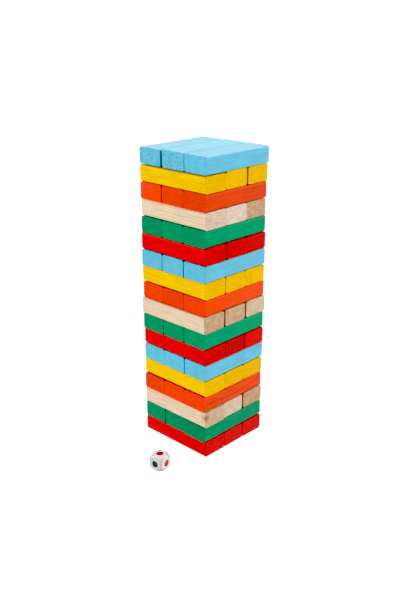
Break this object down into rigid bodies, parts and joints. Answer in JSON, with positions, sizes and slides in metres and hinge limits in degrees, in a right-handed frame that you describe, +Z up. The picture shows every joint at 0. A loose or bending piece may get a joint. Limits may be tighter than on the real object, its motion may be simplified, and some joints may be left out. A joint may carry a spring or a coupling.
{
  "type": "tumbling tower",
  "caption": "Stacking tower of painted and plain wooden blocks laid crosswise in courses, with a white colour die beside it; each block draws out along its own length.",
  "frame": {"origin": "on the table under the middle of the stack, in the underside of the bottom course", "axes": "+Z up the stack; +X along the blocks of the bottom course and of every second course above it; the die lies on the -Y side"},
  "size_m": [0.0772, 0.1233, 0.2655],
  "materials": {
    "red_wood": "satin",
    "green_wood": "satin",
    "natural_wood": "satin",
    "orange_wood": "satin",
    "yellow_wood": "satin",
    "blue_wood": "satin",
    "die_white": "gloss"
  },
  "bodies": {
    "course_01_red_front": {"course_01_red_front": "red_wood"},
    "course_01_red_middle": {"course_01_red_middle": "red_wood"},
    "course_01_red_back": {"course_01_red_back": "red_wood"},
    "course_02_green_left": {"course_02_green_left": "green_wood"},
    "course_02_green_middle": {"course_02_green_middle": "green_wood"},
    "course_02_green_right": {"course_02_green_right": "green_wood"},
    "course_03_natural_front": {"course_03_natural_front": "natural_wood"},
    "course_03_natural_middle": {"course_03_natural_middle": "natural_wood"},
    "course_03_natural_back": {"course_03_natural_back": "natural_wood"},
    "course_04_orange_left": {"course_04_orange_left": "orange_wood"},
    "course_04_orange_middle": {"course_04_orange_middle": "orange_wood"},
    "course_04_orange_right": {"course_04_orange_right": "orange_wood"},
    "course_05_yellow_front": {"course_05_yellow_front": "yellow_wood"},
    "course_05_yellow_middle": {"course_05_yellow_middle": "yellow_wood"},
    "course_05_yellow_back": {"course_05_yellow_back": "yellow_wood"},
    "course_06_blue_left": {"course_06_blue_left": "blue_wood"},
    "course_06_blue_middle": {"course_06_blue_middle": "blue_wood"},
    "course_06_blue_right": {"course_06_blue_right": "blue_wood"},
    "course_07_red_front": {"course_07_red_front": "red_wood"},
    "course_07_red_middle": {"course_07_red_middle": "red_wood"},
    "course_07_red_back": {"course_07_red_back": "red_wood"},
    "course_08_green_left": {"course_08_green_left": "green_wood"},
    "course_08_green_middle": {"course_08_green_middle": "green_wood"},
    "course_08_green_right": {"course_08_green_right": "green_wood"},
    "course_09_natural_front": {"course_09_natural_front": "natural_wood"},
    "course_09_natural_middle": {"course_09_natural_middle": "natural_wood"},
    "course_09_natural_back": {"course_09_natural_back": "natural_wood"},
    "course_10_orange_left": {"course_10_orange_left": "orange_wood"},
    "course_10_orange_middle": {"course_10_orange_middle": "orange_wood"},
    "course_10_orange_right": {"course_10_orange_right": "orange_wood"},
    "course_11_yellow_front": {"course_11_yellow_front": "yellow_wood"},
    "course_11_yellow_middle": {"course_11_yellow_middle": "yellow_wood"},
    "course_11_yellow_back": {"course_11_yellow_back": "yellow_wood"},
    "course_12_blue_left": {"course_12_blue_left": "blue_wood"},
    "course_12_blue_middle": {"course_12_blue_middle": "blue_wood"},
    "course_12_blue_right": {"course_12_blue_right": "blue_wood"},
    "course_13_red_front": {"course_13_red_front": "red_wood"},
    "course_13_red_middle": {"course_13_red_middle": "red_wood"},
    "course_13_red_back": {"course_13_red_back": "red_wood"},
    "course_14_green_left": {"course_14_green_left": "green_wood"},
    "course_14_green_middle": {"course_14_green_middle": "green_wood"},
    "course_14_green_right": {"course_14_green_right": "green_wood"},
    "course_15_natural_front": {"course_15_natural_front": "natural_wood"},
    "course_15_natural_middle": {"course_15_natural_middle": "natural_wood"},
    "course_15_natural_back": {"course_15_natural_back": "natural_wood"},
    "course_16_orange_left": {"course_16_orange_left": "orange_wood"},
    "course_16_orange_middle": {"course_16_orange_middle": "orange_wood"},
    "course_16_orange_right": {"course_16_orange_right": "orange_wood"},
    "course_17_yellow_front": {"course_17_yellow_front": "yellow_wood"},
    "course_17_yellow_middle": {"course_17_yellow_middle": "yellow_wood"},
    "course_17_yellow_back": {"course_17_yellow_back": "yellow_wood"},
    "course_18_blue_left": {"course_18_blue_left": "blue_wood"},
    "course_18_blue_middle": {"course_18_blue_middle": "blue_wood"},
    "course_18_blue_right": {"course_18_blue_right": "blue_wood"},
    "die": {"die": "die_white"}
  },
  "joints": [
    {"name": "draw_course_01_front", "type": "slide", "parent": "course_01_red_middle", "child": "course_01_red_front", "axis": [1, 0, 0], "range_m": [-0.08, 0.08]},
    {"name": "draw_course_01_back", "type": "slide", "parent": "course_01_red_middle", "child": "course_01_red_back", "axis": [1, 0, 0], "range_m": [-0.08, 0.08]},
    {"name": "draw_course_02_left", "type": "slide", "parent": "course_01_red_middle", "child": "course_02_green_left", "axis": [0, 1, 0], "range_m": [-0.08, 0.08]},
    {"name": "draw_course_02_middle", "type": "slide", "parent": "course_01_red_middle", "child": "course_02_green_middle", "axis": [0, 1, 0], "range_m": [-0.08, 0.08]},
    {"name": "draw_course_02_right", "type": "slide", "parent": "course_01_red_middle", "child": "course_02_green_right", "axis": [0, 1, 0], "range_m": [-0.08, 0.08]},
    {"name": "draw_course_03_front", "type": "slide", "parent": "course_01_red_middle", "child": "course_03_natural_front", "axis": [1, 0, 0], "range_m": [-0.08, 0.08]},
    {"name": "draw_course_03_middle", "type": "slide", "parent": "course_01_red_middle", "child": "course_03_natural_middle", "axis": [1, 0, 0], "range_m": [-0.08, 0.08]},
    {"name": "draw_course_03_back", "type": "slide", "parent": "course_01_red_middle", "child": "course_03_natural_back", "axis": [1, 0, 0], "range_m": [-0.08, 0.08]},
    {"name": "draw_course_04_left", "type": "slide", "parent": "course_01_red_middle", "child": "course_04_orange_left", "axis": [0, 1, 0], "range_m": [-0.08, 0.08]},
    {"name": "draw_course_04_middle", "type": "slide", "parent": "course_01_red_middle", "child": "course_04_orange_middle", "axis": [0, 1, 0], "range_m": [-0.08, 0.08]},
    {"name": "draw_course_04_right", "type": "slide", "parent": "course_01_red_middle", "child": "course_04_orange_right", "axis": [0, 1, 0], "range_m": [-0.08, 0.08]},
    {"name": "draw_course_05_front", "type": "slide", "parent": "course_01_red_middle", "child": "course_05_yellow_front", "axis": [1, 0, 0], "range_m": [-0.08, 0.08]},
    {"name": "draw_course_05_middle", "type": "slide", "parent": "course_01_red_middle", "child": "course_05_yellow_middle", "axis": [1, 0, 0], "range_m": [-0.08, 0.08]},
    {"name": "draw_course_05_back", "type": "slide", "parent": "course_01_red_middle", "child": "course_05_yellow_back", "axis": [1, 0, 0], "range_m": [-0.08, 0.08]},
    {"name": "draw_course_06_left", "type": "slide", "parent": "course_01_red_middle", "child": "course_06_blue_left", "axis": [0, 1, 0], "range_m": [-0.08, 0.08]},
    {"name": "draw_course_06_middle", "type": "slide", "parent": "course_01_red_middle", "child": "course_06_blue_middle", "axis": [0, 1, 0], "range_m": [-0.08, 0.08]},
    {"name": "draw_course_06_right", "type": "slide", "parent": "course_01_red_middle", "child": "course_06_blue_right", "axis": [0, 1, 0], "range_m": [-0.08, 0.08]},
    {"name": "draw_course_07_front", "type": "slide", "parent": "course_01_red_middle", "child": "course_07_red_front", "axis": [1, 0, 0], "range_m": [-0.08, 0.08]},
    {"name": "draw_course_07_middle", "type": "slide", "parent": "course_01_red_middle", "child": "course_07_red_middle", "axis": [1, 0, 0], "range_m": [-0.08, 0.08]},
    {"name": "draw_course_07_back", "type": "slide", "parent": "course_01_red_middle", "child": "course_07_red_back", "axis": [1, 0, 0], "range_m": [-0.08, 0.08]},
    {"name": "draw_course_08_left", "type": "slide", "parent": "course_01_red_middle", "child": "course_08_green_left", "axis": [0, 1, 0], "range_m": [-0.08, 0.08]},
    {"name": "draw_course_08_middle", "type": "slide", "parent": "course_01_red_middle", "child": "course_08_green_middle", "axis": [0, 1, 0], "range_m": [-0.08, 0.08]},
    {"name": "draw_course_08_right", "type": "slide", "parent": "course_01_red_middle", "child": "course_08_green_right", "axis": [0, 1, 0], "range_m": [-0.08, 0.08]},
    {"name": "draw_course_09_front", "type": "slide", "parent": "course_01_red_middle", "child": "course_09_natural_front", "axis": [1, 0, 0], "range_m": [-0.08, 0.08]},
    {"name": "draw_course_09_middle", "type": "slide", "parent": "course_01_red_middle", "child": "course_09_natural_middle", "axis": [1, 0, 0], "range_m": [-0.08, 0.08]},
    {"name": "draw_course_09_back", "type": "slide", "parent": "course_01_red_middle", "child": "course_09_natural_back", "axis": [1, 0, 0], "range_m": [-0.08, 0.08]},
    {"name": "draw_course_10_left", "type": "slide", "parent": "course_01_red_middle", "child": "course_10_orange_left", "axis": [0, 1, 0], "range_m": [-0.08, 0.08]},
    {"name": "draw_course_10_middle", "type": "slide", "parent": "course_01_red_middle", "child": "course_10_orange_middle", "axis": [0, 1, 0], "range_m": [-0.08, 0.08]},
    {"name": "draw_course_10_right", "type": "slide", "parent": "course_01_red_middle", "child": "course_10_orange_right", "axis": [0, 1, 0], "range_m": [-0.08, 0.08]},
    {"name": "draw_course_11_front", "type": "slide", "parent": "course_01_red_middle", "child": "course_11_yellow_front", "axis": [1, 0, 0], "range_m": [-0.08, 0.08]},
    {"name": "draw_course_11_middle", "type": "slide", "parent": "course_01_red_middle", "child": "course_11_yellow_middle", "axis": [1, 0, 0], "range_m": [-0.08, 0.08]},
    {"name": "draw_course_11_back", "type": "slide", "parent": "course_01_red_middle", "child": "course_11_yellow_back", "axis": [1, 0, 0], "range_m": [-0.08, 0.08]},
    {"name": "draw_course_12_left", "type": "slide", "parent": "course_01_red_middle", "child": "course_12_blue_left", "axis": [0, 1, 0], "range_m": [-0.08, 0.08]},
    {"name": "draw_course_12_middle", "type": "slide", "parent": "course_01_red_middle", "child": "course_12_blue_middle", "axis": [0, 1, 0], "range_m": [-0.08, 0.08]},
    {"name": "draw_course_12_right", "type": "slide", "parent": "course_01_red_middle", "child": "course_12_blue_right", "axis": [0, 1, 0], "range_m": [-0.08, 0.08]},
    {"name": "draw_course_13_front", "type": "slide", "parent": "course_01_red_middle", "child": "course_13_red_front", "axis": [1, 0, 0], "range_m": [-0.08, 0.08]},
    {"name": "draw_course_13_middle", "type": "slide", "parent": "course_01_red_middle", "child": "course_13_red_middle", "axis": [1, 0, 0], "range_m": [-0.08, 0.08]},
    {"name": "draw_course_13_back", "type": "slide", "parent": "course_01_red_middle", "child": "course_13_red_back", "axis": [1, 0, 0], "range_m": [-0.08, 0.08]},
    {"name": "draw_course_14_left", "type": "slide", "parent": "course_01_red_middle", "child": "course_14_green_left", "axis": [0, 1, 0], "range_m": [-0.08, 0.08]},
    {"name": "draw_course_14_middle", "type": "slide", "parent": "course_01_red_middle", "child": "course_14_green_middle", "axis": [0, 1, 0], "range_m": [-0.08, 0.08]},
    {"name": "draw_course_14_right", "type": "slide", "parent": "course_01_red_middle", "child": "course_14_green_right", "axis": [0, 1, 0], "range_m": [-0.08, 0.08]},
    {"name": "draw_course_15_front", "type": "slide", "parent": "course_01_red_middle", "child": "course_15_natural_front", "axis": [1, 0, 0], "range_m": [-0.08, 0.08]},
    {"name": "draw_course_15_middle", "type": "slide", "parent": "course_01_red_middle", "child": "course_15_natural_middle", "axis": [1, 0, 0], "range_m": [-0.08, 0.08]},
    {"name": "draw_course_15_back", "type": "slide", "parent": "course_01_red_middle", "child": "course_15_natural_back", "axis": [1, 0, 0], "range_m": [-0.08, 0.08]},
    {"name": "draw_course_16_left", "type": "slide", "parent": "course_01_red_middle", "child": "course_16_orange_left", "axis": [0, 1, 0], "range_m": [-0.08, 0.08]},
    {"name": "draw_course_16_middle", "type": "slide", "parent": "course_01_red_middle", "child": "course_16_orange_middle", "axis": [0, 1, 0], "range_m": [-0.08, 0.08]},
    {"name": "draw_course_16_right", "type": "slide", "parent": "course_01_red_middle", "child": "course_16_orange_right", "axis": [0, 1, 0], "range_m": [-0.08, 0.08]},
    {"name": "draw_course_17_front", "type": "slide", "parent": "course_01_red_middle", "child": "course_17_yellow_front", "axis": [1, 0, 0], "range_m": [-0.08, 0.08]},
    {"name": "draw_course_17_middle", "type": "slide", "parent": "course_01_red_middle", "child": "course_17_yellow_middle", "axis": [1, 0, 0], "range_m": [-0.08, 0.08]},
    {"name": "draw_course_17_back", "type": "slide", "parent": "course_01_red_middle", "child": "course_17_yellow_back", "axis": [1, 0, 0], "range_m": [-0.08, 0.08]},
    {"name": "lift_course_18_left", "type": "slide", "parent": "course_01_red_middle", "child": "course_18_blue_left", "axis": [0, 0, 1], "range_m": [0, 0.06]},
    {"name": "lift_course_18_middle", "type": "slide", "parent": "course_01_red_middle", "child": "course_18_blue_middle", "axis": [0, 0, 1], "range_m": [0, 0.06]},
    {"name": "lift_course_18_right", "type": "slide", "parent": "course_01_red_middle", "child": "course_18_blue_right", "axis": [0, 0, 1], "range_m": [0, 0.06]},
    {"name": "lift_die", "type": "slide", "parent": "course_01_red_middle", "child": "die", "axis": [0, 0, 1], "range_m": [0, 0.06]}
  ]
}
